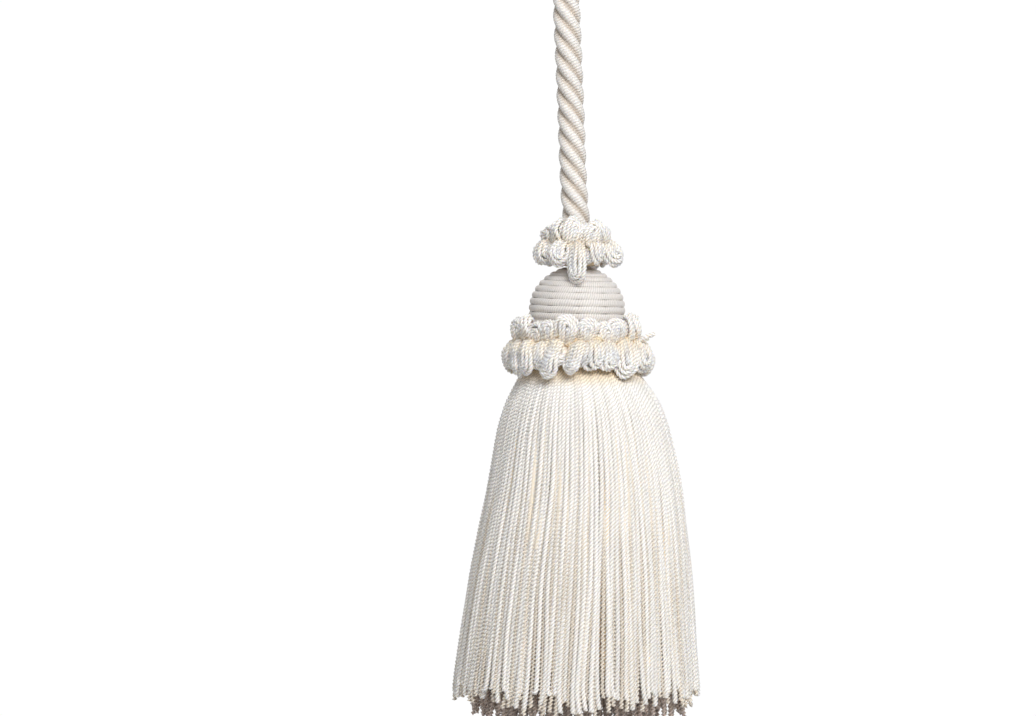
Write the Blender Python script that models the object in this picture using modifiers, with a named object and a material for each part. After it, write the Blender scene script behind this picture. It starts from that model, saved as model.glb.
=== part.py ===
"""Ivory tassel hanging on its twisted rope.

A rope comes down from a bound eye into a dome head wound with gimp. One looped ruff hides the foot of the
rope, a wider one hides the foot of the head, and a skirt of bullion strands hangs from a root bound under it.
Lengths are in metres. The origin is where a hook bears inside the crown of the eye, and the tassel hangs
down its own axis from there.
"""

import math
import random
from collections import namedtuple

import bmesh
import bpy
from mathutils import Vector

GAP = 0.0003

# Rope: four strands laid up to the left, hanging with the slight lean that its offset eye gives it
ROPE_DIAMETER = 0.0095
ROPE_STRANDS = 4
ROPE_LEAD = 0.0275
ROPE_GROOVE = 0.16
ROPE_STEPS_PER_TURN = 8
ROPE_POINTS_PER_STRAND = 3
ROPE_FOOT_Z = -0.1617

Place = namedtuple("Place", "x z")
ROPE_ROUTE = [
    Place(0.0000, ROPE_FOOT_Z),
    Place(0.0000, -0.1540),
    Place(-0.0003, -0.1460),
    Place(-0.0009, -0.1380),
    Place(-0.0023, -0.1050),
    Place(-0.0038, -0.0700),
    Place(-0.0043, -0.0580),
    Place(-0.0047, -0.0480),
    Place(-0.0057, -0.0416),
    Place(-0.0086, -0.0359),
    Place(-0.0125, -0.0319),
    Place(-0.0166, -0.0279),
    Place(-0.0195, -0.0221),
    Place(-0.0205, -0.0158),
    Place(-0.0178, -0.0055),
    Place(-0.0103, 0.0020),
    Place(0.0000, 0.0048),
    Place(0.0103, 0.0020),
    Place(0.0178, -0.0055),
    Place(0.0205, -0.0158),
    Place(0.0195, -0.0223),
    Place(0.0164, -0.0283),
    Place(0.0130, -0.0321),
    Place(0.0097, -0.0357),
    Place(0.0067, -0.0416),
    Place(0.0057, -0.0480),
    Place(0.0061, -0.0580),
    Place(0.0064, -0.0645),
]

# Whipping: thread wound in one layer round the standing rope and the tail
WHIPPING_TOP_Z = -0.0490
WHIPPING_HEIGHT = 0.0140
WHIPPING_THREAD = 0.0013
WHIPPING_CENTRE_X = 0.0008
WHIPPING_LEG_SPACING = 0.0104
WHIPPING_LEAN = math.radians(2.3)
WHIPPING_ARC_STEPS = 10

# Head: a half egg on a short drum, wound with round gimp
HEAD_RADIUS = 0.0166
HEAD_SHOULDER_Z = -0.1765
HEAD_RISE = 0.0151
HEAD_TOP_Z = ROPE_FOOT_Z - GAP
HEAD_DRUM_Z = -0.1813
HEAD_FOOT_Z = -0.1830
HEAD_FOOT_RADIUS = 0.0150
GIMP_PITCH = 0.0025
GIMP_RELIEF = 0.0004
HEAD_STEPS = 26

# Ruffs: a narrow band under two rows of loops, one row lifted over it and one hanging from it
Row = namedtuple("Row", "name count turn seed")
Station = namedtuple("Station", "radius z half_width cord")
LOOP_SIDES_RESOLUTION = 1

TOP_BAND_INNER = 0.0053
TOP_BAND_OUTER = 0.0080
TOP_BAND_TOP_Z = -0.1504
TOP_BAND_FOOT_Z = -0.1615
TOP_BAND_STEPS = 24
TOP_ROWS = {
    Row("top_ruff_upper_row", 9, 0.5, 11): [
        Station(0.0066, -0.1536, 0.00115, 0.0010),
        Station(0.0097, -0.1514, 0.00165, 0.0016),
        Station(0.0101, -0.1487, 0.00165, 0.0016),
        Station(0.0098, -0.1473, 0.00083, 0.0016),
    ],
    Row("top_ruff_lower_row", 10, 0.0, 12): [
        Station(0.0066, -0.1570, 0.00105, 0.0009),
        Station(0.0120, -0.1550, 0.00180, 0.0017),
        Station(0.0133, -0.1586, 0.00200, 0.0019),
        Station(0.0132, -0.1611, 0.00100, 0.0019),
    ],
}

LOWER_BAND_INNER = 0.0170
LOWER_BAND_OUTER = 0.0202
LOWER_BAND_TOP_Z = -0.1852
LOWER_BAND_FOOT_Z = -0.1924
LOWER_BAND_STEPS = 32
LOWER_ROWS = {
    Row("lower_ruff_upper_row", 16, 0.5, 21): [
        Station(0.0184, -0.1874, 0.00165, 0.0014),
        Station(0.0207, -0.1844, 0.00200, 0.0019),
        Station(0.0201, -0.1821, 0.00200, 0.0019),
        Station(0.0196, -0.1804, 0.00100, 0.0019),
    ],
    Row("lower_ruff_lower_row", 18, 0.0, 22): [
        Station(0.0184, -0.1904, 0.00145, 0.0013),
        Station(0.0233, -0.1889, 0.00190, 0.0018),
        Station(0.0242, -0.1952, 0.00200, 0.0019),
        Station(0.0240, -0.1972, 0.00100, 0.0019),
    ],
}
LOOP_SWAY = math.radians(0.4)
LOOP_SAG = 0.0007
LONG_LOOP_SAG = -0.0053
LONG_LOOP_REACH = 0.0024

# Skirt: a bound root under the head, with strands drawn out of the facets of its flared foot
STRAND_COLUMNS = 72
ROOT_TOP_RADIUS = 0.0152
ROOT_TOP_Z = HEAD_FOOT_Z - GAP
ROOT_RADIUS = 0.0164
ROOT_RIM_Z = -0.1928
ROOT_MIDDLE_RADIUS = 0.0132
ROOT_MIDDLE_Z = -0.1954
ROOT_FOOT_RADIUS = 0.0096
ROOT_FOOT_Z = -0.1964
ROOT_SPACING = 0.0001
STRAND_SEED = 31
STRAND_SWAY = 0.0005

# The strands hang round a middle line that swings aside, towards +X, above the hem
Section = namedtuple("Section", "radius z size aside")
Layer = namedtuple("Layer", "hem_scatter sections")
OUTER_LAYER = Layer(
    0.0018,
    [
        Section(0.0204, -0.2005, 0.00072, 0.0011),
        Section(0.0244, -0.2062, 0.00090, 0.0018),
        Section(0.0283, -0.2165, 0.00105, 0.0023),
        Section(0.0323, -0.2390, 0.00115, 0.0026),
        Section(0.0415, -0.3062, 0.00120, -0.0002),
    ],
)
SECOND_LAYER = Layer(
    0.0022,
    [
        Section(0.0185, -0.2010, 0.00072, 0.0011),
        Section(0.0222, -0.2074, 0.00090, 0.0019),
        Section(0.0259, -0.2175, 0.00105, 0.0023),
        Section(0.0296, -0.2390, 0.00115, 0.0026),
        Section(0.0384, -0.3094, 0.00120, -0.0003),
    ],
)
INNER_LAYER = Layer(
    0.0026,
    [
        Section(0.0152, -0.2040, 0.00080, 0.0015),
        Section(0.0216, -0.2350, 0.00120, 0.0026),
        Section(0.0300, -0.3125, 0.00130, -0.0003),
    ],
)

# Finish: red, green, blue in linear light, then roughness
Finish = namedtuple("Finish", "name colour roughness")
ROPE_FINISH = Finish("ivory_rope", (0.76, 0.70, 0.61), 0.50)
THREAD_FINISH = Finish("ivory_thread", (0.72, 0.66, 0.57), 0.55)
GIMP_FINISH = Finish("ivory_gimp", (0.73, 0.69, 0.63), 0.62)
RUFF_FINISH = Finish("ivory_loops", (0.79, 0.73, 0.63), 0.45)
SKIRT_FINISH = Finish("ivory_bullion", (0.80, 0.74, 0.64), 0.42)


def clear_scene():
    for thing in list(bpy.data.objects):
        bpy.data.objects.remove(thing)


def new_collection(name):
    collection = bpy.data.collections.new(name)
    bpy.context.scene.collection.children.link(collection)
    return collection


def new_material(finish):
    material = bpy.data.materials.new(finish.name)
    material.use_nodes = True
    shader = material.node_tree.nodes["Principled BSDF"]
    shader.inputs["Base Color"].default_value = (*finish.colour, 1.0)
    shader.inputs["Roughness"].default_value = finish.roughness
    shader.inputs["Metallic"].default_value = 0.0
    return material


def add_object(name, data, collection, finish=None):
    thing = bpy.data.objects.new(name, data)
    collection.objects.link(thing)
    if finish:
        data.materials.append(new_material(finish))
    return thing


def hide_helper(thing):
    thing.hide_render = True
    thing.display_type = "WIRE"


def around(angle, radius, across, z):
    """A point at a radius from the axis, then moved across it, seen from outside. Angle 0 faces -Y."""
    outward = Vector((math.sin(angle), -math.cos(angle), 0.0))
    sideways = Vector((math.cos(angle), math.sin(angle), 0.0))
    return outward * radius + sideways * across + Vector((0.0, 0.0, z))


def smooth_line(route, step):
    """Points at equal steps along a smooth curve through the route's places."""
    knots = [Vector((place.x, 0.0, place.z)) for place in route]
    times = [0.0]
    for before, after in zip(knots, knots[1:]):
        times.append(times[-1] + (after - before).length)
    slopes = [(b - a) / (tb - ta) for a, b, ta, tb in zip(knots, knots[1:], times, times[1:])]
    tangents = [slopes[0]]
    for index in range(1, len(knots) - 1):
        lead_in = times[index] - times[index - 1]
        lead_out = times[index + 1] - times[index]
        tangents.append((slopes[index] * lead_in + slopes[index - 1] * lead_out) / (lead_in + lead_out))
    tangents.append(slopes[-1])
    fine = []
    for index in range(len(slopes)):
        span = times[index + 1] - times[index]
        for part in range(40):
            t = part / 40
            fine.append(
                knots[index] * (2 * t**3 - 3 * t**2 + 1)
                + tangents[index] * span * (t**3 - 2 * t**2 + t)
                + knots[index + 1] * (3 * t**2 - 2 * t**3)
                + tangents[index + 1] * span * (t**3 - t**2)
            )
    fine.append(knots[-1])
    return even_points(fine, step)


def even_points(fine, step):
    """Points read off a fine line at equal distances, about one step apart, both ends kept."""
    travelled = [0.0]
    for before, after in zip(fine, fine[1:]):
        travelled.append(travelled[-1] + (after - before).length)
    count = round(travelled[-1] / step)
    points = []
    index = 0
    for number in range(count + 1):
        target = travelled[-1] * number / count
        while index < len(fine) - 2 and travelled[index + 1] < target:
            index += 1
        share = (target - travelled[index]) / (travelled[index + 1] - travelled[index])
        points.append(fine[index].lerp(fine[index + 1], share))
    return points


def rope_section(helpers):
    """Outline across the rope: one rounded lobe for each strand."""
    outline = bpy.data.curves.new("rope_section", "CURVE")
    outline.dimensions = "2D"
    spline = outline.splines.new("POLY")
    count = ROPE_STRANDS * ROPE_POINTS_PER_STRAND
    spline.points.add(count - 1)
    for index, point in enumerate(spline.points):
        angle = -math.tau * index / count
        lobe = abs(math.cos(ROPE_STRANDS * angle / 2))
        radius = ROPE_DIAMETER / 2 * (1 - ROPE_GROOVE * (1 - lobe))
        point.co = (radius * math.cos(angle), radius * math.sin(angle), 0.0, 1.0)
    spline.use_cyclic_u = True
    section = add_object("rope_section", outline, helpers)
    hide_helper(section)
    return section


def make_rope(parts, helpers):
    """A lobed section swept along the route, turned a little further at each point."""
    curve = bpy.data.curves.new("rope", "CURVE")
    curve.dimensions = "3D"
    curve.bevel_mode = "OBJECT"
    curve.bevel_object = rope_section(helpers)
    curve.use_fill_caps = True
    points = smooth_line(ROPE_ROUTE, ROPE_LEAD / ROPE_STEPS_PER_TURN)
    spline = curve.splines.new("POLY")
    spline.points.add(len(points) - 1)
    for index, point in enumerate(spline.points):
        point.co = (*points[index], 1.0)
        point.tilt = -math.tau * index / ROPE_STEPS_PER_TURN
    rope = add_object("rope", curve, parts, ROPE_FINISH)
    facets_across = rope.modifiers.new("Facets along the lay", "TRIANGULATE")
    facets_across.quad_method = "SHORTEST_DIAGONAL"
    return rope


def stadium(curve, radius):
    """A closed outline round two circles that stand side by side."""
    half = WHIPPING_LEG_SPACING / 2
    spline = curve.splines.new("POLY")
    spline.points.add(2 * (WHIPPING_ARC_STEPS + 1) - 1)
    for index, point in enumerate(spline.points):
        end, step = divmod(index, WHIPPING_ARC_STEPS + 1)
        angle = math.pi * (end + step / WHIPPING_ARC_STEPS) - math.pi / 2
        centre = half if end == 0 else -half
        point.co = (centre + radius * math.cos(angle), radius * math.sin(angle), 0.0, 1.0)
    spline.use_cyclic_u = True


def make_whipping(parts):
    """A flat ring outline as tall as the winding, leaning with the rope."""
    curve = bpy.data.curves.new("loop_whipping", "CURVE")
    curve.dimensions = "2D"
    curve.fill_mode = "BOTH"
    curve.extrude = WHIPPING_HEIGHT / 2
    clear_radius = ROPE_DIAMETER / 2 + GAP
    stadium(curve, clear_radius + WHIPPING_THREAD)
    stadium(curve, clear_radius)
    whipping = add_object("loop_whipping", curve, parts, THREAD_FINISH)
    whipping.location = (WHIPPING_CENTRE_X, 0.0, WHIPPING_TOP_Z - WHIPPING_HEIGHT / 2)
    whipping.rotation_euler = (0.0, -WHIPPING_LEAN, 0.0)
    return whipping


def head_outline():
    """Fine points down the half egg and its drum, from the flat top outwards."""
    start = math.acos((HEAD_TOP_Z - HEAD_SHOULDER_Z) / HEAD_RISE)
    outline = []
    for index in range(201):
        angle = start + (math.pi / 2 - start) * index / 200
        height = HEAD_SHOULDER_Z + HEAD_RISE * math.cos(angle)
        outline.append(Vector((HEAD_RADIUS * math.sin(angle), 0.0, height)))
    outline.append(Vector((HEAD_RADIUS, 0.0, HEAD_DRUM_Z)))
    return outline


def make_head(parts):
    """A turned head: the outline dips between one turn of gimp and the next."""
    line = even_points(head_outline(), GIMP_PITCH / 3)
    profile = [Vector((0.0, 0.0, line[0].z))]
    for index, point in enumerate(line):
        before = line[max(index - 1, 0)]
        after = line[min(index + 1, len(line) - 1)]
        along = (after - before).normalized()
        inward = Vector((along.z, 0.0, -along.x))
        dip = GIMP_RELIEF if index % 3 == 0 and 0 < index < len(line) - 1 else 0.0
        profile.append(point + inward * dip)
    profile.append(Vector((HEAD_FOOT_RADIUS, 0.0, HEAD_FOOT_Z)))
    profile.append(Vector((0.0, 0.0, HEAD_FOOT_Z)))
    head = add_object("head", turned_profile("head", profile, False), parts, GIMP_FINISH)
    add_screw(head, HEAD_STEPS)
    return head


def turned_profile(name, points, closed):
    mesh = bpy.data.meshes.new(name)
    edges = [(index, index + 1) for index in range(len(points) - 1)]
    if closed:
        edges.append((len(points) - 1, 0))
    mesh.from_pydata(points, edges, [])
    return mesh


def add_screw(thing, steps):
    screw = thing.modifiers.new("Screw", "SCREW")
    screw.steps = steps
    screw.render_steps = steps
    screw.use_merge_vertices = True
    screw.merge_threshold = 0.00001
    screw.use_smooth_shade = True


def make_band(name, inner, outer, top_z, foot_z, steps, parts):
    """A sewn band, as a turned ring."""
    profile = [
        Vector((inner, 0.0, top_z)),
        Vector((outer, 0.0, top_z)),
        Vector((outer, 0.0, foot_z)),
        Vector((inner, 0.0, foot_z)),
    ]
    band = add_object(name, turned_profile(name, profile, True), parts, RUFF_FINISH)
    add_screw(band, steps)
    return band


def loop_row(row, stations, long_loop, helpers):
    """One row of loops as closed tubes, each going out along one leg, round its tip and back."""
    curve = bpy.data.curves.new(row.name, "CURVE")
    curve.dimensions = "3D"
    curve.bevel_depth = 1.0
    curve.bevel_resolution = LOOP_SIDES_RESOLUTION
    curve.use_fill_caps = True
    chance = random.Random(row.seed)
    leg = [(station, number / (len(stations) - 1)) for number, station in enumerate(stations)]
    turns = [(station, share, 1.0) for station, share in leg]
    turns += [(station, share, -1.0) for station, share in reversed(leg)]
    for number in range(row.count):
        sway = chance.uniform(-LOOP_SWAY, LOOP_SWAY)
        sag = chance.uniform(-LOOP_SAG, LOOP_SAG)
        reach = 0.0
        if long_loop and number == 0:
            sag = LONG_LOOP_SAG
            reach = LONG_LOOP_REACH
        angle = math.tau * (number + row.turn) / row.count + sway
        spline = curve.splines.new("POLY")
        spline.points.add(len(turns) - 1)
        for point, (station, share, side) in zip(spline.points, turns):
            radius = station.radius + reach * share
            place = around(angle, radius, side * station.half_width, station.z + sag * share)
            point.co = (*place, 1.0)
            point.radius = station.cord
    tubes = add_object(row.name, curve, helpers)
    return as_closed_mesh(tubes, helpers)


def as_closed_mesh(curve_object, helpers):
    """The curve's evaluated mesh with its caps welded on, in place of the curve."""
    name = curve_object.name
    bpy.context.view_layer.update()
    graph = bpy.context.evaluated_depsgraph_get()
    mesh = bpy.data.meshes.new_from_object(curve_object.evaluated_get(graph))
    place = curve_object.matrix_world.copy()
    bpy.data.objects.remove(curve_object)
    shape = bmesh.new()
    shape.from_mesh(mesh)
    bmesh.ops.remove_doubles(shape, verts=shape.verts, dist=0.00001)
    bmesh.ops.recalc_face_normals(shape, faces=shape.faces)
    shape.to_mesh(mesh)
    shape.free()
    thing = add_object(name, mesh, helpers)
    thing.matrix_world = place
    hide_helper(thing)
    return thing


def make_ruff(band, rows, long_loop_row, helpers):
    """The band and its rows of loops, joined into one solid."""
    for row, stations in rows.items():
        join = band.modifiers.new(row.name, "BOOLEAN")
        join.operation = "UNION"
        join.solver = "EXACT"
        join.object = loop_row(row, stations, row.name == long_loop_row, helpers)
    return band


def ring(shape, radius, z, half_turns):
    step = math.tau / STRAND_COLUMNS
    return [
        shape.verts.new(around((column + half_turns / 2) * step, radius, 0.0, z))
        for column in range(STRAND_COLUMNS)
    ]


def facets(shape, upper, lower, lower_is_ahead):
    """Triangles between two rings that stand half a step apart: those with two points above, then below."""
    wide_above = []
    wide_below = []
    for column in range(STRAND_COLUMNS):
        after = (column + 1) % STRAND_COLUMNS
        if lower_is_ahead:
            wide_above.append(shape.faces.new((upper[column], upper[after], lower[column])))
            wide_below.append(shape.faces.new((upper[after], lower[after], lower[column])))
        else:
            wide_above.append(shape.faces.new((upper[column], upper[after], lower[after])))
            wide_below.append(shape.faces.new((upper[column], lower[after], lower[column])))
    return wide_above, wide_below


def draw_out(shape, faces, layer, chance):
    """Each facet becomes a strand of three sides, drawn out through the layer's sections."""
    bmesh.ops.inset_individual(shape, faces=faces, thickness=ROOT_SPACING, use_even_offset=True)
    half_step = math.pi / STRAND_COLUMNS
    sway = [chance.uniform(-STRAND_SWAY, STRAND_SWAY) for column in range(2 * STRAND_COLUMNS)]
    hem = [chance.uniform(-layer.hem_scatter, layer.hem_scatter) for column in range(2 * STRAND_COLUMNS)]
    last = len(layer.sections) - 1
    middle = 0.0
    for number, section in enumerate(layer.sections):
        faces = bmesh.ops.extrude_discrete_faces(shape, faces=faces)["faces"]
        for face in faces:
            centre = face.calc_center_median()
            column = round(math.atan2(centre.x - middle, -centre.y) / half_step) % (2 * STRAND_COLUMNS)
            turn = column * half_step
            swing = sway[column] * number / last
            drop = hem[column] if number == last else 0.0
            outward = around(turn, 1.0, 0.0, 0.0)
            sideways = around(turn, 0.0, 1.0, 0.0)
            for vert in face.verts:
                offset = vert.co - centre
                side = offset.dot(sideways)
                depth = math.copysign(1.0, offset.dot(outward))
                on_middle = abs(side) < offset.length * 0.1
                across = 0.0 if on_middle else math.copysign(section.size * math.sqrt(0.75), side)
                depth *= section.size if on_middle else section.size / 2
                vert.co = around(turn, section.radius + depth, swing + across, section.z + drop)
                vert.co.x += section.aside
        middle = section.aside


def make_skirt(parts):
    """A root turned by hand so that its flared foot is made of the facets that the strands grow from."""
    shape = bmesh.new()
    top = ring(shape, ROOT_TOP_RADIUS, ROOT_TOP_Z, 0)
    rim = ring(shape, ROOT_RADIUS, ROOT_RIM_Z, 0)
    middle = ring(shape, ROOT_MIDDLE_RADIUS, ROOT_MIDDLE_Z, 1)
    foot = ring(shape, ROOT_FOOT_RADIUS, ROOT_FOOT_Z, 0)
    shape.faces.new(top)
    shape.faces.new(list(reversed(foot)))
    for column in range(STRAND_COLUMNS):
        after = (column + 1) % STRAND_COLUMNS
        shape.faces.new((top[after], top[column], rim[column], rim[after]))
    outer, second = facets(shape, rim, middle, True)
    spare, inner = facets(shape, middle, foot, False)
    bmesh.ops.recalc_face_normals(shape, faces=shape.faces)
    chance = random.Random(STRAND_SEED)
    draw_out(shape, outer, OUTER_LAYER, chance)
    draw_out(shape, second, SECOND_LAYER, chance)
    draw_out(shape, inner, INNER_LAYER, chance)
    mesh = bpy.data.meshes.new("skirt")
    shape.to_mesh(mesh)
    shape.free()
    return add_object("skirt", mesh, parts, SKIRT_FINISH)


def main():
    clear_scene()
    parts = new_collection("tassel")
    helpers = new_collection("cutters")
    make_rope(parts, helpers)
    make_whipping(parts)
    make_head(parts)
    top_band = make_band(
        "top_ruff", TOP_BAND_INNER, TOP_BAND_OUTER, TOP_BAND_TOP_Z, TOP_BAND_FOOT_Z, TOP_BAND_STEPS, parts
    )
    make_ruff(top_band, TOP_ROWS, "top_ruff_lower_row", helpers)
    lower_band = make_band(
        "lower_ruff",
        LOWER_BAND_INNER,
        LOWER_BAND_OUTER,
        LOWER_BAND_TOP_Z,
        LOWER_BAND_FOOT_Z,
        LOWER_BAND_STEPS,
        parts,
    )
    make_ruff(lower_band, LOWER_ROWS, "", helpers)
    make_skirt(parts)


main()
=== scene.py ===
"""Dresses the tassel in its yarns: a laid rope with a bound eye, a head wound with gimp, two looped ruffs
and a skirt of bullion fringe. Lengths are in metres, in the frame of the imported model."""

import math
import random
from collections import namedtuple

import bpy
from bpy.props import FloatProperty, FloatVectorProperty, IntProperty, PointerProperty
from mathutils import Matrix, Vector, noise


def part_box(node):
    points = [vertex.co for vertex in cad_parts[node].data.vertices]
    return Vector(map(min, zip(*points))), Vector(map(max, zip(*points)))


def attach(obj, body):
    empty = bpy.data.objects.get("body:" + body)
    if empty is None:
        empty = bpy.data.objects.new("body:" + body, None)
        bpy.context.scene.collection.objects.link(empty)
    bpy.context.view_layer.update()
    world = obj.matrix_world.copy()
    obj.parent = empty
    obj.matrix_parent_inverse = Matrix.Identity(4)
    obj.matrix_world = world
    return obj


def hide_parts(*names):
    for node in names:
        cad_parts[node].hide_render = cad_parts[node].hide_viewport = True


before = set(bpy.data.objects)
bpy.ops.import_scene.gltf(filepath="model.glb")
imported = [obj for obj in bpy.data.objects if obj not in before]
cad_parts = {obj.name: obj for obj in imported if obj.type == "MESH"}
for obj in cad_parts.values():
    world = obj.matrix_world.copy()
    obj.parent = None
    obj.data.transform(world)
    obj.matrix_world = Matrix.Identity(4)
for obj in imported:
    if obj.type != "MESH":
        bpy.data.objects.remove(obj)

bl_info = {
    "name": "Tassel Yarns",
    "version": (1, 0, 0),
    "blender": (4, 5, 0),
    "location": "3D View > Sidebar > Tassel",
    "description": "Makes the yarns of a hanging tassel: rope, wound head, ruffs and bullion skirt",
    "category": "Object",
}

BODY = "root"

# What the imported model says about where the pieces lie
HEAD_LOW, HEAD_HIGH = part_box("head")
WHIPPING_LOW, WHIPPING_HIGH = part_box("loop_whipping")
SKIRT_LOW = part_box("skirt")[0]

Place = namedtuple("Place", "x z")
ROPE_ROUTE = [
    Place(0.0000, -0.1617),
    Place(0.0000, -0.1540),
    Place(-0.0003, -0.1460),
    Place(-0.0009, -0.1380),
    Place(-0.0023, -0.1050),
    Place(-0.0038, -0.0700),
    Place(-0.0043, -0.0580),
    Place(-0.0047, -0.0480),
    Place(-0.0057, -0.0416),
    Place(-0.0086, -0.0359),
    Place(-0.0125, -0.0319),
    Place(-0.0166, -0.0279),
    Place(-0.0195, -0.0221),
    Place(-0.0205, -0.0158),
    Place(-0.0178, -0.0055),
    Place(-0.0103, 0.0020),
    Place(0.0000, 0.0048),
    Place(0.0103, 0.0020),
    Place(0.0178, -0.0055),
    Place(0.0205, -0.0158),
    Place(0.0195, -0.0223),
    Place(0.0164, -0.0283),
    Place(0.0130, -0.0321),
    Place(0.0097, -0.0357),
    Place(0.0067, -0.0416),
    Place(0.0057, -0.0480),
    Place(0.0061, -0.0580),
    Place(0.0064, -0.0645),
]

# Inside the whipping: how far apart the rope's two legs lie, and how far the binding leans with them
LEG_SPACING = 0.0104
WHIPPING_LEAN = math.radians(2.3)
WHIPPING_SLACK = 0.00005
WHIPPING_MARGIN = 0.0010

# Petals of the ruffs: how many places a row has, the first one filled, how far the row is turned, as a share
# of a place, a petal's width, and the line that its middle follows. Angle 0 faces -Y.
Row = namedtuple("Row", "count first turn width seed")
Middle = namedtuple("Middle", "radius z")
TOP_ROWS = {
    Row(10, 0, 0.5, 0.0090, 11): [
        Middle(0.0064, -0.1556),
        Middle(0.0086, -0.1545),
        Middle(0.0096, -0.1518),
        Middle(0.0097, -0.1484),
        Middle(0.0090, -0.1456),
    ],
    Row(12, 1, 0.0, 0.0090, 12): [
        Middle(0.0064, -0.1560),
        Middle(0.0094, -0.1546),
        Middle(0.0116, -0.1556),
        Middle(0.0123, -0.1584),
        Middle(0.0121, -0.1624),
    ],
    Row(9, 0, 0.35, 0.0084, 14): [
        Middle(0.0064, -0.1562),
        Middle(0.0082, -0.1560),
        Middle(0.0098, -0.1572),
        Middle(0.0106, -0.1596),
        Middle(0.0108, -0.1618),
    ],
    Row(1, 0, -0.02, 0.0088, 13): [
        Middle(0.0064, -0.1560),
        Middle(0.0100, -0.1546),
        Middle(0.0128, -0.1560),
        Middle(0.0146, -0.1602),
        Middle(0.0160, -0.1676),
    ],
}
LOWER_ROWS = {
    Row(20, 0, 0.5, 0.0088, 21): [
        Middle(0.0178, -0.1884),
        Middle(0.0193, -0.1868),
        Middle(0.0200, -0.1836),
        Middle(0.0196, -0.1804),
        Middle(0.0188, -0.1783),
    ],
    Row(16, 0, 0.25, 0.0084, 24): [
        Middle(0.0178, -0.1892),
        Middle(0.0200, -0.1890),
        Middle(0.0216, -0.1906),
        Middle(0.0223, -0.1932),
        Middle(0.0224, -0.1962),
    ],
    Row(21, 0, 0.0, 0.0090, 22): [
        Middle(0.0178, -0.1894),
        Middle(0.0206, -0.1880),
        Middle(0.0224, -0.1896),
        Middle(0.0230, -0.1932),
        Middle(0.0227, -0.1990),
    ],
}

# The sewn bands that the petals spring from
Band = namedtuple("Band", "inner outer top_z foot_z")
TOP_BAND = Band(0.0053, 0.0080, -0.1504, -0.1615)
LOWER_BAND = Band(0.0170, 0.0202, -0.1852, -0.1924)

# How far the threads of a petal wander, and how finely. Without a seed the noise differs from run to run.
WANDER = 0.0010
WANDER_SCALE = 210.0
WANDER_SEED = 2

# Where the threads of a petal lie, as shares of its half width: from its spine, and out of its plane
Thread = namedtuple("Thread", "aside out")
PETAL_THREADS = [
    Thread(0.77, 0.00),
    Thread(0.57, 0.25),
    Thread(0.29, 0.37),
    Thread(0.04, 0.34),
    Thread(0.46, -0.24),
]

# A petal has these shares of its width and depth at its root, is open from this share of its length on, and
# loses at this rate the painted warm shade that lies at its root, between the petals
ROOT_WIDTH = 0.40
ROOT_DEPTH = 0.35
OPEN_SHARE = 0.55
ROOT_SHADE_FADE = 1.6

# Cut ends of thread that stick out of the lower ruff
Loose = namedtuple("Loose", "angle radius z aside rise")
LOOSE_ENDS = [
    Loose(1.42, 0.0268, -0.1848, 0.0014, 0.0030),
    Loose(1.56, 0.0262, -0.1852, -0.0012, 0.0026),
    Loose(1.25, 0.0258, -0.1862, -0.0010, 0.0020),
    Loose(3.40, 0.0256, -0.1862, 0.0014, 0.0022),
]

# Skirt: how far from its middle line the strands of each layer hang, from the root down to the hem, and how
# far that line swings aside, towards +X
Hang = namedtuple("Hang", "z outer second inner aside")
SKIRT_HANG = [
    Hang(-0.1932, 0.0158, 0.0150, 0.0118, 0.0000),
    Hang(-0.1968, 0.0183, 0.0174, 0.0132, 0.0005),
    Hang(-0.2003, 0.0206, 0.0197, 0.0146, 0.0011),
    Hang(-0.2030, 0.0224, 0.0215, 0.0158, 0.0015),
    Hang(-0.2062, 0.0243, 0.0235, 0.0170, 0.0018),
    Hang(-0.2103, 0.0263, 0.0255, 0.0183, 0.0021),
    Hang(-0.2186, 0.0288, 0.0282, 0.0200, 0.0024),
    Hang(-0.2351, 0.0320, 0.0316, 0.0236, 0.0027),
    Hang(-0.2516, 0.0348, 0.0345, 0.0270, 0.0021),
    Hang(-0.2681, 0.0374, 0.0372, 0.0302, 0.0013),
    Hang(-0.2847, 0.0394, 0.0392, 0.0328, 0.0006),
    Hang(-0.3010, 0.0410, 0.0408, 0.0348, 0.0000),
    Hang(-0.3180, 0.0422, 0.0420, 0.0364, -0.0004),
]
HEM_Z = {"outer": -0.3064, "second": -0.3080, "inner": -0.3124}
HEM_SCATTER = {"outer": 0.0032, "second": 0.0036, "inner": 0.0044}
OUTER_SEED = 31
SECOND_SEED = 32
BACKING_SEED = 39

# The bound root of the skirt, as radius and height round its section
ROOT_OUTLINE = [
    (0.0095, -0.1962), (0.0130, -0.1956), (0.0160, -0.1930), (0.0164, -0.1900),
    (0.0160, -0.1860), (0.0150, -0.1834), (0.0095, -0.1834),
]

# How far the ends of the strands curl, how far up from the hem, how much more the inner ones do, and how long
# a strand's tip is
HEM_CURL = 0.0008
HEM_CURL_REACH = 0.022
INNER_CURL = 2.4
STRAND_TIP = 0.0006

# Twisted strands behind the outer ones begin low, at uneven heights, and plain ones stand in above them.
# Plain backing strands close what gaps are left.
SECOND_START_Z = -0.230
SECOND_STAGGER = 0.018
SECOND_PLAIN_END_Z = -0.256
BACKING_END_Z = -0.300
INNER_START_Z = -0.286
FILL_START_Z = -0.294
PLAIN_OVERLAP = 0.006

# How strands stray, as shares of their sway: each by its own wave, the strands of a clump together, and in
# and out by a ripple
WAVE_SHARE = 0.4
CLUMP_SHARE = 1.3
CLUMPS_ROUND = 3.1
CLUMPS_DOWN = 22.0
RIPPLE_SHARE = 0.25

# Above this height, and more over this reach, the strands take on painted warm shade, for the shade under the
# lower ruff
WARM_SHADE_Z = -0.2030
WARM_SHADE_REACH = 0.0055
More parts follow.
